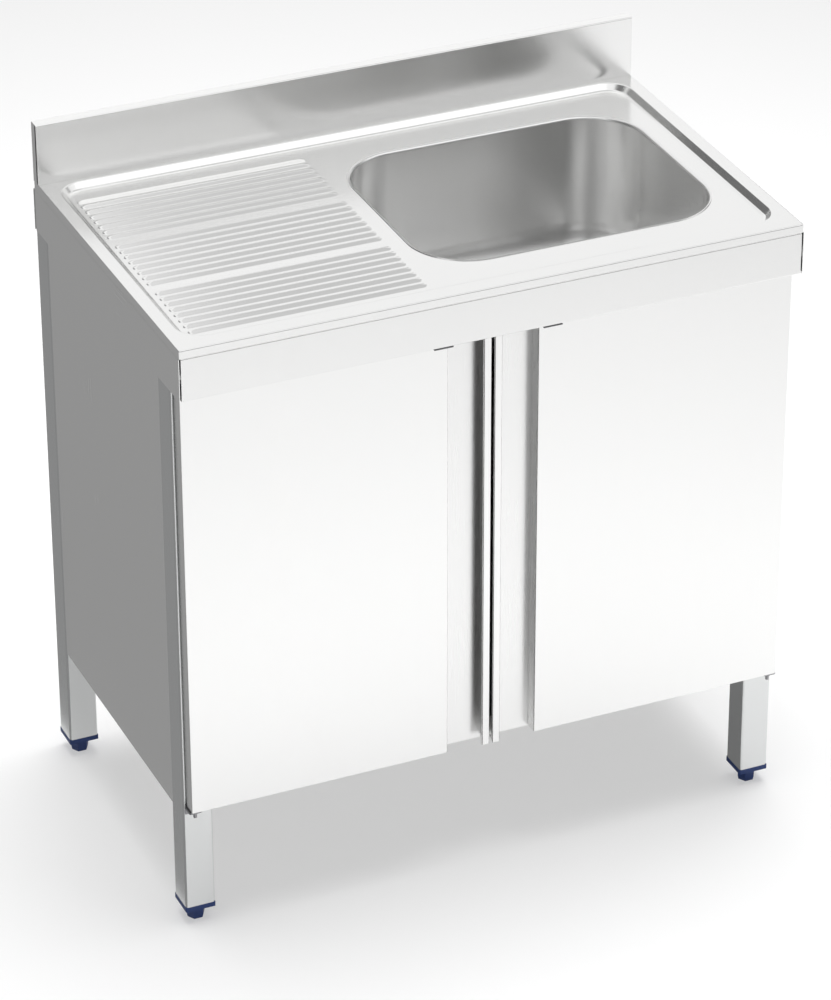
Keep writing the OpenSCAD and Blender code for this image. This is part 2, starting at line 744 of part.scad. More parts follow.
// Plain pin through the plate and into the bush, its tail held by the nut
module hinge_pins() color(steel)
  at_hinges() translate([0, 0, -pin_tail]) cylinder(d = pin_d, h = pin_tail + hinge_gap + pin_in);

module hinge_nuts() color(steel_dark)
  at_hinges() translate([0, 0, -bracket_t - nut_t]) difference() {
    cylinder(d = nut_af/cos(30), h = nut_t, $fn = 6);
    translate([0, 0, -lap]) cylinder(d = pin_d, h = nut_t + 2*lap);
  }

// Catch plate: its upper part lies under the fascia's return and its leg hangs behind the door
module catch_left() {
  y0 = -half_d + catch_setback;
  color(graphite) difference() {
    union() {
      box(catch_x0, catch_x1, y0, catch_y1, apron_z - catch_t, apron_z);
      box(catch_x0, catch_x1, catch_y1 - catch_t, catch_y1, apron_z - catch_leg, apron_z);
    }
    catch_screw_places() catch_screw_hole();
  }
}
module catch_right() on_right() catch_left();

// The two screw axes of the left catch, along Y
module catch_screw_places()
  for (s = [-1, 1])
    translate([(catch_x0 + catch_x1)/2 + s*catch_w/4, catch_y1, magnet_z + magnet_h/2])
      rotate([90, 0, 0]) children();

module catch_screw_hole()
  translate([0, 0, -lap]) cylinder(d = catch_screw_d, h = lap + catch_t + catch_screw_in);

module magnet_left() difference() {
  box(catch_x0 + magnet_inset, catch_x1 - magnet_inset, keeper_y1 + magnet_gap, catch_y1 - catch_t,
    magnet_z, magnet_z + magnet_h);
  catch_screw_places() catch_screw_hole();
}
module catch_magnets() color(rubber) {
  magnet_left();
  on_right() magnet_left();
}

// Screws through each catch plate's leg into its magnet block, heads at the back
module catch_screw() {
  cylinder(d = catch_screw_d, h = catch_t + catch_screw_in);
  translate([0, 0, -catch_head]) cylinder(d = 2*catch_screw_d, h = catch_head);
}
module catch_screws() color(steel)
  for (s = [0, 1]) mirror([s, 0, 0]) catch_screw_places() catch_screw();

// Cap closing the leg tube, drilled for the foot's stud
module foot_cap(x, y) {
  a = leg/2 + cap_proud;
  b = leg/2 - leg_wall - plug_gap;
  z0 = leg_z - cap_flange;
  color(navy) translate([x, y, 0]) difference() {
    union() {
      translate([0, 0, z0]) linear_extrude(cap_flange) rrect(-a, a, -a, a, cap_r);
      translate([0, 0, leg_z]) linear_extrude(cap_plug) rrect(-b, b, -b, b, leg_r - leg_wall);
    }
    translate([0, 0, z0 - lap]) cylinder(r = stud_d/2 + stud_fit, h = cap_flange + cap_plug + 2*lap);
  }
}
module foot_cap_front_left() foot_cap(-foot_x, foot_y0);
module foot_cap_front_right() foot_cap(foot_x, foot_y0);
module foot_cap_rear_left() foot_cap(-foot_x, foot_y1);
module foot_cap_rear_right() foot_cap(foot_x, foot_y1);

// Levelling foot: a hexagon on the floor, tapered at its end, with a stud into the cap
module foot(x, y) {
  color(navy) translate([x, y, 0]) {
    cylinder(d1 = foot_base_af/cos(30), d2 = foot_af/cos(30), h = foot_taper, $fn = 6);
    translate([0, 0, foot_taper]) cylinder(d = foot_af/cos(30), h = foot_h - foot_taper, $fn = 6);
    translate([0, 0, foot_h - lap]) cylinder(d = stud_d, h = stud_len + lap);
  }
}
module foot_front_left() foot(-foot_x, foot_y0);
module foot_front_right() foot(foot_x, foot_y0);
module foot_rear_left() foot(-foot_x, foot_y1);
module foot_rear_right() foot(foot_x, foot_y1);

// Waste: flange in the bowl and threaded outlet below it
module waste_body() {
  color(steel_light) translate([drain_x, drain_y, bowl_z]) difference() {
    union() {
      cylinder(d = waste_flange_d, h = waste_flange_t);
      translate([0, 0, -outlet_len]) cylinder(d = outlet_d, h = outlet_len + waste_flange_t/2);
    }
    translate([0, 0, -outlet_len - lap]) cylinder(d = outlet_bore, h = outlet_len + waste_flange_t + 2*lap);
    translate([0, 0, waste_flange_t - strainer_t])
      cylinder(r = strainer_r + strainer_fit, h = strainer_t + lap);
    translate([0, 0, -nut_stack - outlet_groove]) difference() {
      cylinder(d = outlet_d + 2*lap, h = outlet_groove);
      translate([0, 0, -lap]) cylinder(d = outlet_d - 2*groove_depth, h = outlet_groove + 2*lap);
    }
  }
}

// Ring round the outlet, its top face at the given depth below the bowl's underside
module waste_ring(depth, t, outer)
  translate([drain_x, drain_y, bowl_z - bowl_sheet - depth - t]) difference() {
    cylinder(d = outer, h = t);
    translate([0, 0, -lap]) cylinder(r = outlet_d/2 + ring_fit, h = t + 2*lap);
  }
module waste_gasket() color(rubber) waste_ring(0, gasket_t, gasket_d);
module waste_washer() color(steel) waste_ring(gasket_t, washer_t, washer_d);
module waste_locknut() color(brass)
  translate([drain_x, drain_y, bowl_z - nut_stack]) difference() {
    cylinder(d = locknut_af/cos(30), h = locknut_t, $fn = 6);
    translate([0, 0, -lap]) cylinder(d = outlet_d, h = locknut_t + 2*lap);
  }

// Strainer plate let into the waste's flange, with a ring of holes and one in the middle
module waste_strainer()
  color(steel) translate([drain_x, drain_y, bowl_z + waste_flange_t - strainer_t]) difference() {
    cylinder(r = strainer_r, h = strainer_t);
    for (i = [0:strainer_holes - 1]) rotate([0, 0, i*360/strainer_holes])
      translate([strainer_ring, 0, -lap]) cylinder(d = strainer_hole, h = strainer_t + 2*lap);
    translate([0, 0, -lap]) cylinder(d = strainer_hole, h = strainer_t + 2*lap);
  }

worktop();
upstand();
upstand_end_left();
upstand_end_right();
bowl();
fascia_front();
apron_left();
apron_right();
apron_rear();
stiffener_left();
stiffener_right();
leg_front_left();
leg_front_right();
leg_rear_left();
leg_rear_right();
rail_front();
rail_rear();
rail_left();
rail_right();
side_panel_left();
side_panel_right();
back_panel();
shelf();
door_left_skin();
door_left_liner();
door_left_strip();
door_left_bushes();
door_left_keeper();
door_right_skin();
door_right_liner();
door_right_strip();
door_right_bushes();
door_right_keeper();
hinge_top_left();
hinge_top_right();
hinge_bottom_left();
hinge_bottom_right();
hinge_pins();
hinge_nuts();
catch_left();
catch_right();
catch_magnets();
catch_screws();
foot_cap_front_left();
foot_cap_front_right();
foot_cap_rear_left();
foot_cap_rear_right();
foot_front_left();
foot_front_right();
foot_rear_left();
foot_rear_right();
waste_body();
waste_gasket();
waste_washer();
waste_locknut();
waste_strainer();
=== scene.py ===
from math import atan2, cos, degrees, pi, radians, sin, tan

import bmesh
import bpy
from mathutils import Matrix, Vector


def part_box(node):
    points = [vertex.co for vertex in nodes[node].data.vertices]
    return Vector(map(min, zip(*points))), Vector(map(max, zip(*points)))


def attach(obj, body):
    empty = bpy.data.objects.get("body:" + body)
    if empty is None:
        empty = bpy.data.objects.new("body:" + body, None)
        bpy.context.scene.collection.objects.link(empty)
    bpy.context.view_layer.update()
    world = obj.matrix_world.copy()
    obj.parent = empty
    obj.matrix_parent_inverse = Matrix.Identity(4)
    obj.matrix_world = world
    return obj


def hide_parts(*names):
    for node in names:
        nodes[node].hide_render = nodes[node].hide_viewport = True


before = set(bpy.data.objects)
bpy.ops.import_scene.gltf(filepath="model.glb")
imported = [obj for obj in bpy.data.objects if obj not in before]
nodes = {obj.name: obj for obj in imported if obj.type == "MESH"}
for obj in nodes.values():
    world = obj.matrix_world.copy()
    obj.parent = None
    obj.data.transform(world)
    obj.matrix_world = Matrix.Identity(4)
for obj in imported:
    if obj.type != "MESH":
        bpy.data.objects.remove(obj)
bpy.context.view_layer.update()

# Legs
# Four square stainless tubes, cut to length and welded to the rails. Their faces are drawn
# satin along the tube, and their corners are rolled to a small radius.
line_depth = 0.000005
wave_depth = 0.000006
tone_spread = 0.02
gloss_spread = 0.015


def satin_steel(name, tone, roughness, grain):
    """Stainless steel with very fine lines, hardly visible waves, and a gloss and tone that vary
    a little. The grain is the lines' scale along X, Y and Z, small along the lines."""
    steel = bpy.data.materials.new(name)
    steel.use_nodes = True
    tree = steel.node_tree
    shader = tree.nodes["Principled BSDF"]
    shader.inputs["Metallic"].default_value = 1.0

    place = tree.nodes.new("ShaderNodeTexCoord")
    along = tree.nodes.new("ShaderNodeMapping")
    along.inputs["Scale"].default_value = grain
    lines = tree.nodes.new("ShaderNodeTexNoise")
    lines.inputs["Scale"].default_value = 1.0
    lines.inputs["Detail"].default_value = 3.0
    tree.links.new(place.outputs["Object"], along.inputs["Vector"])
    tree.links.new(along.outputs["Vector"], lines.inputs["Vector"])

    cloud = tree.nodes.new("ShaderNodeTexNoise")
    cloud.inputs["Scale"].default_value = 7.0
    cloud.inputs["Detail"].default_value = 2.0
    tree.links.new(place.outputs["Object"], cloud.inputs["Vector"])

    colour = tree.nodes.new("ShaderNodeMix")
    colour.data_type = "RGBA"
    colour.inputs["A"].default_value = (*(c*(1 - tone_spread) for c in tone), 1)
    colour.inputs["B"].default_value = (*(min(1, c*(1 + tone_spread)) for c in tone), 1)
    tree.links.new(lines.outputs["Fac"], colour.inputs["Factor"])
    tree.links.new(colour.outputs["Result"], shader.inputs["Base Color"])

    dull = tree.nodes.new("ShaderNodeMath")
    dull.operation = "ADD"
    tree.links.new(lines.outputs["Fac"], dull.inputs[0])
    tree.links.new(cloud.outputs["Fac"], dull.inputs[1])
    spread = tree.nodes.new("ShaderNodeMapRange")
    spread.inputs["From Min"].default_value = 0.6
    spread.inputs["From Max"].default_value = 1.4
    spread.inputs["To Min"].default_value = roughness - gloss_spread
    spread.inputs["To Max"].default_value = roughness + gloss_spread
    tree.links.new(dull.outputs["Value"], spread.inputs["Value"])
    tree.links.new(spread.outputs["Result"], shader.inputs["Roughness"])

    scored = tree.nodes.new("ShaderNodeBump")
    scored.inputs["Strength"].default_value = 0.05
    scored.inputs["Distance"].default_value = line_depth
    tree.links.new(lines.outputs["Fac"], scored.inputs["Height"])
    waved = tree.nodes.new("ShaderNodeBump")
    waved.inputs["Strength"].default_value = 0.5
    waved.inputs["Distance"].default_value = wave_depth
    tree.links.new(cloud.outputs["Fac"], waved.inputs["Height"])
    tree.links.new(scored.outputs["Normal"], waved.inputs["Normal"])
    tree.links.new(waved.outputs["Normal"], shader.inputs["Normal"])
    return steel


def finish(node, material):
    """Gives a CAD node's mesh its finish."""
    for place in nodes[node].material_slots:
        place.material = material


tube_steel = satin_steel("tube_steel", (0.71, 0.72, 0.72), 0.26, (1800, 1800, 8))
for leg in ("leg_front_left", "leg_front_right", "leg_rear_left", "leg_rear_right"):
    finish(leg, tube_steel)

# Rails and stiffeners
# Square tubes welded between the legs, and two folded hat sections that carry the drainer.
# They lie under the worktop and only show from below or with a door open.
rail_steel = satin_steel("rail_steel", (0.62, 0.63, 0.64), 0.36, (8, 1800, 1800))
side_rail_steel = satin_steel("side_rail_steel", (0.62, 0.63, 0.64), 0.36, (1800, 8, 1800))
for rail in ("rail_front", "rail_rear"):
    finish(rail, rail_steel)
for rail in ("rail_left", "rail_right", "stiffener_left", "stiffener_right"):
    finish(rail, side_rail_steel)

# Panels and shelf
# Satin sheets with folded returns, spot welded between the legs. The lines of the finish run
# upright on the panels and from side to side on the shelf.
panel_steel = satin_steel("panel_steel", (0.88, 0.88, 0.875), 0.26, (1800, 1800, 8))
shelf_steel = satin_steel("shelf_steel", (0.74, 0.74, 0.73), 0.30, (8, 1800, 1800))
for panel in ("side_panel_left", "side_panel_right", "back_panel"):
    finish(panel, panel_steel)
finish("shelf", shelf_steel)

# Side and rear aprons
# Flat strips under the worktop's edge, lapped over the legs' outer faces and welded to them.
apron_steel = satin_steel("apron_steel", (0.88, 0.88, 0.875), 0.26, (8, 8, 1800))
for apron in ("apron_left", "apron_right", "apron_rear"):
    finish(apron, apron_steel)

# Front fascia
# One strip folded three times: an upper flange back to the front rail, the face, a return along
# the bottom and an upstanding lip behind it. Its bends have an outer radius of 1.8 mm.
fascia_sheet = 0.001
fascia_bend = 0.0018
fascia_return = 0.018
fascia_lip = 0.015
sharp_angle = radians(32)
weld_gap = 1e-7


def folded_strip(bm, points, x0, x1, bend):
    """A strip along X with the given section. Folds between faces wider than the bend are
    rounded."""
    chain = [bm.verts.new((x0, y, z)) for y, z in points]
    edges = [bm.edges.new(pair) for pair in zip(chain, chain[1:])]
    run = bmesh.ops.extrude_edge_only(bm, edges=edges)["geom"]
    moved = [v for v in run if isinstance(v, bmesh.types.BMVert)]
    bmesh.ops.translate(bm, verts=moved, vec=(x1 - x0, 0, 0))
    narrow = bend*(x1 - x0)
    folds = [e for e in bm.edges
             if len(e.link_faces) == 2 and min(f.calc_area() for f in e.link_faces) > narrow]
    bmesh.ops.bevel(bm, geom=folds, offset=bend, segments=4, profile=0.5, affect="EDGES",
                    offset_type="OFFSET", material=-1)


def ready_piece(name, mesh, body, material):
    """Puts a mesh on its body with its finish, smooth where it is round and sharp elsewhere."""
    mesh.name = name
    mesh.polygons.foreach_set("use_smooth", [True]*len(mesh.polygons))
    mesh.set_sharp_from_angle(angle=sharp_angle)
    mesh.materials.clear()
    mesh.materials.append(material)
    piece = bpy.data.objects.new(name, mesh)
    bpy.context.scene.collection.objects.link(piece)
    even = piece.modifiers.new("even_shading", "WEIGHTED_NORMAL")
    even.keep_sharp = True
    even.weight = 100
    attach(piece, body)
    return piece


def sheet_piece(name, bm, thickness, inside, body, material):
    """Makes a sheet-metal piece from its outer surface: the sheet's thickness goes to the side
    of the point named inside, and the object keeps its sharp edges."""
    bmesh.ops.remove_doubles(bm, verts=bm.verts, dist=weld_gap)
    bmesh.ops.recalc_face_normals(bm, faces=bm.faces)
    bm.faces.ensure_lookup_table()
    largest = max(bm.faces, key=lambda f: f.calc_area())
    if largest.normal.dot(Vector(inside) - largest.calc_center_median()) > 0:
        bmesh.ops.reverse_faces(bm, faces=bm.faces)
    mesh = bpy.data.meshes.new(name)
    bm.to_mesh(mesh)
    bm.free()
    flat = bpy.data.objects.new(name + "_flat", mesh)
    bpy.context.scene.collection.objects.link(flat)
    solid = flat.modifiers.new("sheet", "SOLIDIFY")
    solid.thickness = thickness
    solid.offset = -1
    solid.use_even_offset = True
    solid.use_quality_normals = True
    bpy.context.view_layer.update()
    depsgraph = bpy.context.evaluated_depsgraph_get()
    made = bpy.data.meshes.new_from_object(flat.evaluated_get(depsgraph))
    bpy.data.objects.remove(flat)
    return ready_piece(name, made, body, material)


lo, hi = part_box("fascia_front")
fascia_steel = satin_steel("fascia_steel", (0.86, 0.86, 0.855), 0.22, (8, 1800, 1800))
bm = bmesh.new()
folded_strip(bm, [(hi.y, hi.z), (lo.y, hi.z), (lo.y, lo.z), (lo.y + fascia_return, lo.z),
                  (lo.y + fascia_return, lo.z + fascia_lip)], lo.x, hi.x, fascia_bend)
fascia = sheet_piece("front_fascia", bm, fascia_sheet, (0, 0, (lo.z + hi.z)/2), "cabinet",
                     fascia_steel)
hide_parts("fascia_front")

# Worktop
# One pressed sheet of 1.2 mm: a flat rim, a sunk floor reached by a rounded slope, an opening
# for the bowl, three groups of raised ribs to drain on, and an edge turned down all round.
worktop_sheet = 0.0012
edge_bend = 0.0018
edge_lap = 0.00015
edge_corner = 0.0025
edge_steps = 5
edge_corner_steps = 4
rim_side = 0.020
rim_front = 0.028
rim_rear = 0.008
recess_depth = 0.0095
recess_run = 0.0085
recess_round = 0.0025
recess_foot = 0.0075
recess_corner = 0.039
recess_ease = 0.0004
recess_corner_steps = 16
recess_round_steps = 5
recess_foot_steps = 8
opening_corner = 0.089
opening_steps = 32
rib_groups = 3
group_ribs = 8
group_gap = 0.0311
rib_width = 0.012
rib_height = 0.0021
rib_lean = 0.0026
rib_foot = 0.0007
rib_end_ease = 0.00005
# (inset, rise) pairs across a rib from its foot to its flat top, and how far in each of these
# outlines starts at the rib's ends
rib_section = ((0, 0), (0.0007, 0.00005), (0.0013, 0.00016), (0.0019, 0.0004), (0.0036, 0.00112),
               (0.0053, 0.00183), (0.0058, 0.00202), (0.0064, 0.0021))
rib_ends = (0, 0.0003, 0.0006, 0.0009, 0.0016, 0.0062, 0.0078, 0.0095)
rib_end_steps = 6
rib_side = 0.017
rib_bowl_gap = 0.025
rib_rear = 0.045
rib_front = 0.032


def outline(bm, box, inset, corner, z, segments):
    """A rounded rectangle of edges at one height, inset from a box (x0, x1, y0, y1)."""
    x0, x1, y0, y1 = box
    points = [(x0 + inset, y0 + inset), (x1 - inset, y0 + inset),
              (x1 - inset, y1 - inset), (x0 + inset, y1 - inset)]
    corners = [bm.verts.new((x, y, z)) for x, y in points]
    bm.faces.new(corners)
    made = bmesh.ops.bevel(bm, geom=corners, offset=corner - inset, segments=segments, profile=0.5,
                           affect="VERTICES", offset_type="OFFSET", material=-1)["verts"]
    edges = list({e for v in made for e in v.link_edges})
    plate = list({f for v in made for f in v.link_faces})
    bmesh.ops.delete(bm, geom=plate, context="FACES_ONLY")
    return edges


def press(bm, box, corner, section, segments):
    """Joins outlines along a section of (inset, height) points into one pressed wall. Returns
    the first and the last outline."""
    rings = [outline(bm, box, inset, corner, z, segments) for inset, z in section]
    for upper, lower in zip(rings, rings[1:]):
        bmesh.ops.bridge_loops(bm, edges=upper + lower)
    return rings[0], rings[-1]


def curve(centre, radius, start, stop, steps):
    """Points (inset, height) along an arc, with its angles in degrees."""
    turn = [radians(start + (stop - start)*i/steps) for i in range(steps + 1)]
    return [(centre[0] + radius*cos(a), centre[1] + radius*sin(a)) for a in turn]


lo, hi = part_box("worktop")
top_z = hi.z
floor_z = top_z - recess_depth
upstand_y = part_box("upstand")[0].y
edge_box = (lo.x, hi.x, lo.y, hi.y)
recess_box = (lo.x + rim_side - recess_ease, hi.x - rim_side + recess_ease,
              lo.y + rim_front - recess_ease, upstand_y - rim_rear)
bowl_lo, bowl_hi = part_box("bowl")
opening_box = (bowl_lo.x, bowl_hi.x, bowl_lo.y, bowl_hi.y)

slope = degrees(atan2(recess_depth, recess_run))
half_turn = tan(radians(slope)/2)
round_centre = (-recess_round*half_turn, top_z - recess_round)
foot_centre = (recess_run + recess_foot*half_turn, floor_z + recess_foot)
recess_section = (curve(round_centre, recess_round, 90, 90 - slope, recess_round_steps)
                  + curve(foot_centre, recess_foot, 270 - slope, 270, recess_foot_steps))
bend_centre = (edge_bend, top_z - edge_bend)
edge_section = ([(0, lo.z - edge_lap)] + curve(bend_centre, edge_bend, 180, 90, edge_steps))
bm = bmesh.new()
_, rim_out = press(bm, edge_box, edge_corner, edge_section, edge_corner_steps)
rim_in, floor_out = press(bm, recess_box, recess_corner, recess_section, recess_corner_steps)
bmesh.ops.triangle_fill(bm, use_beauty=True, edges=rim_out + rim_in, normal=(0, 0, 1))

opening = outline(bm, opening_box, 0, opening_corner, floor_z, opening_steps)
rib_left = recess_box[0] + rib_side
rib_right = opening_box[0] - rib_bowl_gap
rib_back_line = recess_box[3] - rib_rear
ribs_run = rib_back_line - recess_box[2] - rib_front
rib_pitch = (ribs_run - (rib_groups - 1)*group_gap)/(rib_groups*(group_ribs - 1))
rib_feet = []
for group in range(rib_groups):
    for rib in range(group_ribs):
        y = rib_back_line - group*((group_ribs - 1)*rib_pitch + group_gap) - rib*rib_pitch
        half = rib_width/2 + rib_foot
        rings = []
        for (inset, rise), end in zip(rib_section, rib_ends):
            back = rib_lean*rise/rib_height
            run = end - inset - rib_foot
            rib_box = (rib_left + run, rib_right - run, y - half + back, y + half + back)
            round_end = half - rib_end_ease
            rings.append(outline(bm, rib_box, inset, round_end, floor_z + rise, rib_end_steps))
        for lower, upper in zip(rings, rings[1:]):
            bmesh.ops.bridge_loops(bm, edges=lower + upper)
        bmesh.ops.contextual_create(bm, geom=rings[-1])
        rib_feet += rings[0]
bmesh.ops.triangle_fill(bm, use_beauty=True, edges=floor_out + opening + rib_feet,
                        normal=(0, 0, 1))
worktop_steel = satin_steel("worktop_steel", (0.88, 0.88, 0.875), 0.19, (8, 1800, 1800))
worktop = sheet_piece("pressed_worktop", bm, worktop_sheet, (0, 0, 0), "cabinet",
                      worktop_steel)
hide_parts("worktop")

# Upstand
# A strip folded twice along the worktop's back edge: front sheet, flat top and back sheet. Its
# foot is eased at the seam. A narrow strip closes each end, with a slot behind the front sheet.
upstand_bend = 0.002
upstand_seam = 0.0005
lo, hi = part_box("upstand")
upstand_steel = satin_steel("upstand_steel", (0.93, 0.93, 0.925), 0.23, (8, 1800, 1800))
bm = bmesh.new()
folded_strip(bm, [(lo.y + upstand_seam, lo.z), (lo.y, lo.z + upstand_seam), (lo.y, hi.z),
                  (hi.y, hi.z), (hi.y, lo.z)], lo.x, hi.x, upstand_bend)
upstand = sheet_piece("folded_upstand", bm, worktop_sheet, (0, (lo.y + hi.y)/2, lo.z), "cabinet",
                      upstand_steel)
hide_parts("upstand")
for strip in ("upstand_end_left", "upstand_end_right"):
    finish(strip, panel_steel)

# Bowl
# A deep-drawn bowl of 1 mm sheet with wide corners, welded into the worktop's opening. Its lip
# is rounded and its walls run into the bottom by a large radius.
bowl_sheet = 0.001
bowl_lip = 0.0035
bowl_fillet = 0.058
bowl_lip_steps = 8
bowl_fillet_steps = 20
drain_radius = 0.0249
drain_sides = 64
bowl_steel = satin_steel("bowl_steel", (0.86, 0.86, 0.855), 0.29, (2400, 2400, 2400))
waste_lo, waste_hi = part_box("waste_body")
inner_z = bowl_lo.z + bowl_sheet
drain = Vector(((waste_lo.x + waste_hi.x)/2, (waste_lo.y + waste_hi.y)/2, inner_z))
bm = bmesh.new()
fillet_centre = (bowl_lip + bowl_fillet, inner_z + bowl_fillet)
bowl_section = (curve((0, floor_z - bowl_lip), bowl_lip, 90, 0, bowl_lip_steps)
                + curve(fillet_centre, bowl_fillet, 180, 270, bowl_fillet_steps))
_, floor_edge = press(bm, opening_box, opening_corner, bowl_section, opening_steps)
hole = bmesh.ops.create_circle(bm, cap_ends=False, segments=drain_sides, radius=drain_radius,
                               matrix=Matrix.Translation(drain))["verts"]
hole_edges = {e for v in hole for e in v.link_edges}
bmesh.ops.triangle_fill(bm, use_beauty=True, edges=floor_edge + list(hole_edges),
                        normal=(0, 0, 1))
bowl = sheet_piece("drawn_bowl", bm, bowl_sheet, (drain.x, drain.y, 0), "cabinet",
                   bowl_steel)
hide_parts("bowl")

# Waste
# A chrome-plated flange with a strainer let into it, clamped through the bowl's drain hole by a
# brass locknut, a steel washer and a rubber gasket.
chrome = satin_steel("chrome", (0.84, 0.84, 0.85), 0.08, (300, 300, 300))
for piece in ("waste_body", "waste_strainer"):
    finish(piece, chrome)
skin_grain = 900
skin_depth = 0.00005
skin_gloss_spread = 0.06


def moulded(name, tone, roughness, mottle):
    """Moulded plastic or rubber with a fine matt skin, its tone mottled by the given share."""
    plastic = bpy.data.materials.new(name)
    plastic.use_nodes = True
    tree = plastic.node_tree
    shader = tree.nodes["Principled BSDF"]
    place = tree.nodes.new("ShaderNodeTexCoord")
    skin = tree.nodes.new("ShaderNodeTexNoise")
    skin.inputs["Scale"].default_value = skin_grain
    skin.inputs["Detail"].default_value = 2.0
    tree.links.new(place.outputs["Object"], skin.inputs["Vector"])
    colour = tree.nodes.new("ShaderNodeMix")
    colour.data_type = "RGBA"
    colour.inputs["A"].default_value = (*(c*(1 - mottle) for c in tone), 1)
    colour.inputs["B"].default_value = (*(c*(1 + mottle) for c in tone), 1)
    tree.links.new(skin.outputs["Fac"], colour.inputs["Factor"])
    tree.links.new(colour.outputs["Result"], shader.inputs["Base Color"])
    dull = tree.nodes.new("ShaderNodeMapRange")
    dull.inputs["To Min"].default_value = roughness - skin_gloss_spread
    dull.inputs["To Max"].default_value = roughness + skin_gloss_spread
    tree.links.new(skin.outputs["Fac"], dull.inputs["Value"])
    tree.links.new(dull.outputs["Result"], shader.inputs["Roughness"])
    grained = tree.nodes.new("ShaderNodeBump")
    grained.inputs["Strength"].default_value = 0.2
    grained.inputs["Distance"].default_value = skin_depth
    tree.links.new(skin.outputs["Fac"], grained.inputs["Height"])
    tree.links.new(grained.outputs["Normal"], shader.inputs["Normal"])
    return plastic


finish("waste_gasket", moulded("gasket_rubber", (0.03, 0.03, 0.03), 0.6, 0.2))
fitting_steel = satin_steel("fitting_steel", (0.74, 0.74, 0.74), 0.3, (900, 900, 900))
finish("waste_washer", fitting_steel)
turned_brass = satin_steel("turned_brass", (0.72, 0.56, 0.27), 0.28, (100, 100, 1800))
finish("waste_locknut", turned_brass)

# Hinges
# Each door turns on two pins in steel brackets welded to the front legs. A nut holds each pin in
# its plate.
plate_steel = satin_steel("plate_steel", (0.30, 0.30, 0.31), 0.38, (900, 900, 900))
for node in ("hinge_top_left", "hinge_top_right", "hinge_bottom_left", "hinge_bottom_right",
             "hinge_pins", "hinge_nuts"):
    finish(node, plate_steel)

# Doors
# Folded skins with a back sheet, which is the floor of the finger channel too, and a folded
# strip along the meeting edge. The finish's lines run upright.
door_steel = satin_steel("door_steel", (0.875, 0.875, 0.87), 0.17, (1800, 1800, 8))
liner_steel = satin_steel("liner_steel", (0.87, 0.87, 0.865), 0.28, (1800, 1800, 8))
for side in ("left", "right"):
    for part in ("skin", "strip"):
        finish(f"door_{side}_{part}", door_steel)
    finish(f"door_{side}_liner", liner_steel)
    finish(f"door_{side}_bushes", turned_brass)
    finish(f"door_{side}_keeper", fitting_steel)

# Catches
# A steel plate under the fascia for each door, with a black magnet block screwed to its leg.
catch_steel = satin_steel("catch_steel", (0.15, 0.15, 0.155), 0.4, (900, 900, 900))
for node in ("catch_left", "catch_right"):
    finish(node, catch_steel)
finish("catch_screws", fitting_steel)
finish("catch_magnets", moulded("magnet_black", (0.03, 0.03, 0.032), 0.45, 0.1))

# Feet
# Navy moulded caps in the legs' ends and navy hexagonal levelling feet on studs.
navy_plastic = moulded("navy_plastic", (0.004, 0.028, 0.14), 0.55, 0.08)
for corner in ("front_left", "front_right", "rear_left", "rear_right"):
    finish(f"foot_cap_{corner}", navy_plastic)
    finish(f"foot_{corner}", navy_plastic)

# Studio
# A plain white floor that keeps the cabinet's soft shadow, a white surround, a large soft light
# overhead and grey boards that only the polished surfaces mirror. Two of the boards paint shade
# into those mirrored images: one under the cabinet and one in front of the door channels.
floor_tone = 0.85
floor_glow = 0.42
surround_light = 0.45
surround_seen = 1.0
softbox_side = 2.4
softbox_power = 150
softbox_place = Vector((0.2, 0.25, 3.2))
softbox_target = Vector((0, 0, 0.3))


def seen_directly(tree):
    """1 for rays from the camera, a mirror or glass, and 0 for the light they cast."""
    path = tree.nodes.new("ShaderNodeLightPath")
    total = path.outputs["Is Camera Ray"]
    for ray in ("Is Glossy Ray", "Is Transmission Ray"):
        add = tree.nodes.new("ShaderNodeMath")
        add.operation = "ADD"
        add.use_clamp = True
        tree.links.new(total, add.inputs[0])
        tree.links.new(path.outputs[ray], add.inputs[1])
        total = add.outputs["Value"]
    return total


def stage_plane(name, size, material, matrix):
    """A flat piece of the studio, which is not part of the cabinet."""
    bm = bmesh.new()
    bmesh.ops.create_grid(bm, x_segments=1, y_segments=1, size=0.5)
    bmesh.ops.scale(bm, vec=(size[0], size[1], 1), verts=bm.verts)
    bmesh.ops.transform(bm, matrix=matrix, verts=bm.verts)
    mesh = bpy.data.meshes.new(name)
    bm.to_mesh(mesh)
    bm.free()
    plane = bpy.data.objects.new(name, mesh)
    bpy.context.scene.collection.objects.link(plane)
    mesh.materials.append(material)
    return plane


floor_paint = bpy.data.materials.new("floor_paint")
floor_paint.use_nodes = True
tree = floor_paint.node_tree
tree.nodes.remove(tree.nodes["Principled BSDF"])
matt = tree.nodes.new("ShaderNodeBsdfDiffuse")
matt.inputs["Color"].default_value = (floor_tone, floor_tone, floor_tone, 1)
glow = tree.nodes.new("ShaderNodeEmission")
blend = tree.nodes.new("ShaderNodeMixShader")
share = tree.nodes.new("ShaderNodeMath")
share.operation = "MULTIPLY"
share.inputs[1].default_value = floor_glow
tree.links.new(seen_directly(tree), share.inputs[0])
tree.links.new(share.outputs["Value"], blend.inputs["Fac"])
tree.links.new(matt.outputs["BSDF"], blend.inputs[1])
tree.links.new(glow.outputs["Emission"], blend.inputs[2])
tree.links.new(blend.outputs["Shader"], tree.nodes["Material Output"].inputs["Surface"])
stage_plane("studio_floor", (60, 60), floor_paint, Matrix.Identity(4))

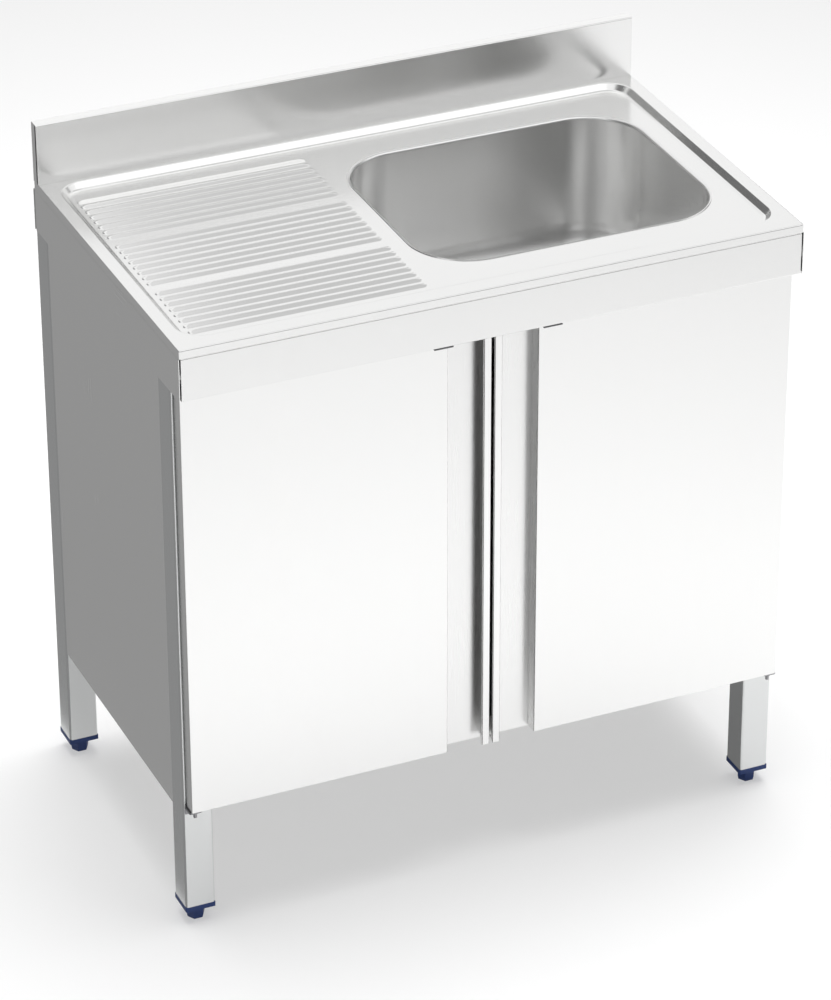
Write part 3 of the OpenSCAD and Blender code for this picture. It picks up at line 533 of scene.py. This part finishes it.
world = bpy.data.worlds.new("studio")
bpy.context.scene.world = world
world.use_nodes = True
tree = world.node_tree
sky = tree.nodes["Background"]
level = tree.nodes.new("ShaderNodeMapRange")
level.inputs["To Min"].default_value = surround_light
level.inputs["To Max"].default_value = surround_seen
tree.links.new(seen_directly(tree), level.inputs["Value"])
tree.links.new(level.outputs["Result"], sky.inputs["Strength"])
sky.inputs["Color"].default_value = (1, 1, 1, 1)


def times(tree, a, b):
    """The product of two sockets."""
    product = tree.nodes.new("ShaderNodeMath")
    product.operation = "MULTIPLY"
    tree.links.new(a, product.inputs[0])
    tree.links.new(b, product.inputs[1])
    return product.outputs["Value"]


def grey_board(name, axes, centre, size, tones, fade=0.05, one_sided=False):
    """A soft-edged board in the plane of two axes, which only polished surfaces mirror. Its tone
    follows (place, grey) pairs along the first axis, and one side can be made invisible."""
    first, second = axes
    turn = Matrix.Identity(3)
    turn.col[0] = [float(i == first) for i in range(3)]
    turn.col[1] = [float(i == second) for i in range(3)]
    turn.col[2] = turn.col[0].cross(turn.col[1])
    board = bpy.data.materials.new(name)
    board.use_nodes = True
    tree = board.node_tree
    tree.nodes.remove(tree.nodes["Principled BSDF"])
    place = tree.nodes.new("ShaderNodeTexCoord")
    split = tree.nodes.new("ShaderNodeSeparateXYZ")
    tree.links.new(place.outputs["Object"], split.inputs["Vector"])

    along = tree.nodes.new("ShaderNodeMapRange")
    start, stop = tones[0][0], tones[-1][0]
    along.inputs["From Min"].default_value = start
    along.inputs["From Max"].default_value = stop
    tree.links.new(split.outputs[first], along.inputs["Value"])
    ramp = tree.nodes.new("ShaderNodeValToRGB")
    for i, (at, grey) in enumerate(tones):
        share = (at - start)/(stop - start)
        stops = ramp.color_ramp.elements
        tone = stops[i] if i < 2 else stops.new(share)
        tone.position = share
        tone.color = (grey, grey, grey, 1)
    tree.links.new(along.outputs["Result"], ramp.inputs["Fac"])
    glow = tree.nodes.new("ShaderNodeEmission")
    tree.links.new(ramp.outputs["Color"], glow.inputs["Color"])

    cover = None
    for axis in axes:
        off = tree.nodes.new("ShaderNodeMath")
        off.operation = "SUBTRACT"
        off.inputs[1].default_value = centre[axis]
        away = tree.nodes.new("ShaderNodeMath")
        away.operation = "ABSOLUTE"
        edge = tree.nodes.new("ShaderNodeMapRange")
        edge.interpolation_type = "SMOOTHSTEP"
        half = size[axes.index(axis)]/2
        edge.inputs["From Min"].default_value = half
        edge.inputs["From Max"].default_value = half - fade
        tree.links.new(split.outputs[axis], off.inputs[0])
        tree.links.new(off.outputs["Value"], away.inputs[0])
        tree.links.new(away.outputs["Value"], edge.inputs["Value"])
        cover = times(tree, cover, edge.outputs["Result"]) if cover else edge.outputs["Result"]
    if one_sided:
        side = tree.nodes.new("ShaderNodeNewGeometry")
        front = tree.nodes.new("ShaderNodeMath")
        front.operation = "SUBTRACT"
        front.inputs[0].default_value = 1.0
        tree.links.new(side.outputs["Backfacing"], front.inputs[1])
        cover = times(tree, cover, front.outputs["Value"])
    clear = tree.nodes.new("ShaderNodeBsdfTransparent")
    blend = tree.nodes.new("ShaderNodeMixShader")
    tree.links.new(cover, blend.inputs["Fac"])
    tree.links.new(clear.outputs["BSDF"], blend.inputs[1])
    tree.links.new(glow.outputs["Emission"], blend.inputs[2])
    tree.links.new(blend.outputs["Shader"], tree.nodes["Material Output"].inputs["Surface"])
    plane = stage_plane(name, size, board, Matrix.Translation(centre) @ turn.to_4x4())
    plane.visible_camera = False
    plane.visible_diffuse = False
    plane.visible_shadow = False
    plane.visible_transmission = False


# each board's plane, centre, size and tones
X, Y, Z = 0, 1, 2
grey_board("left_board", (Z, Y), (-0.47, 1.6, 0.50), (1.04, 3.8), [(0.0, 0.31), (1.0, 0.32)], 0.02)
grey_board("left_board_upper", (Z, Y), (-0.6, 1.6, 1.75), (1.5, 3.8), [(1.0, 0.16), (2.5, 0.16)])
grey_board("right_board", (Y, Z), (1.6, 0.65, 1.5), (1.7, 1.0), [(-0.2, 0.17), (1.5, 0.17)])
grey_board("front_board", (X, Z), (0.75, -1.4, 1.30), (2.1, 0.80), [(-0.3, 0.2), (1.8, 0.16)], 0.06)
grey_board("front_board_left", (X, Z), (-0.9, -1.4, 1.85), (1.3, 1.3), [(-1.5, 0.2), (-0.3, 0.3)], 0.08)
grey_board("overhead_board", (Y, X), (0.85, 0.92, 2.4), (2.0, 1.6),
           [(0.0, 0.55), (0.5, 0.62), (1.05, 0.62), (1.5, 0.8), (1.85, 1.0)], 0.2)
grey_board("white_board", (X, Y), (0.95, -1.25, 2.9), (1.8, 1.1), [(0.0, 1.3), (1.9, 1.3)], 0.1)
# Painted shade: a dark board lying under the cabinet that only mirrors see, so the front right leg's
# inner side mirrors a darker floor there than the lit floor gives.
grey_board("painted_shade_under_cabinet", (X, Y), (0.27, -0.04, 0.004), (0.34, 0.46), [(0.1, 0.2), (0.44, 0.2)], 0.03)
# Painted shade: a dark one-sided board in front of the doors that only mirrors see, darkest near the
# doors, so the flanks of the finger channels mirror dark as if in the channel's own shade.
grey_board("painted_channel_shade", (Y, Z), (-0.1, -0.53, 0.40), (0.50, 0.8),
           [(-0.75, 0.33), (-0.6, 0.33), (-0.5, 0.07), (-0.30, 0.04)], 0.02, True)

softbox = bpy.data.lights.new("overhead_softbox", "AREA")
softbox.shape = "RECTANGLE"
softbox.size, softbox.size_y = softbox_side, softbox_side
softbox.energy = softbox_power
lamp = bpy.data.objects.new("overhead_softbox", softbox)
bpy.context.scene.collection.objects.link(lamp)
aim = (softbox_target - softbox_place).to_track_quat("-Z", "Y")
lamp.matrix_world = Matrix.Translation(softbox_place) @ aim.to_matrix().to_4x4()
lamp.visible_glossy = False

# Camera
# A long lens from the front left and above, which keeps the cabinet's uprights nearly parallel.
turn, rise, roll = radians(-23.641), radians(29.714), radians(-0.157)
target = Vector((-0.00028, 0, 0.44934))
distance = 6.4131
lens_length = 164.34
sensor_width = 36
camera_data = bpy.data.cameras.new("camera")
camera_data.lens = lens_length
camera_data.sensor_width = sensor_width
camera_data.clip_end = 100
camera = bpy.data.objects.new("camera", camera_data)
bpy.context.scene.collection.objects.link(camera)
tilt = Matrix.Rotation(pi/2 - rise, 4, "X")
aim = Matrix.Rotation(turn, 4, "Z") @ tilt @ Matrix.Rotation(roll, 4, "Z")
camera.matrix_world = Matrix.Translation(target) @ aim @ Matrix.Translation((0, 0, distance))
bpy.context.scene.camera = camera
bpy.context.scene.view_settings.view_transform = "Standard"
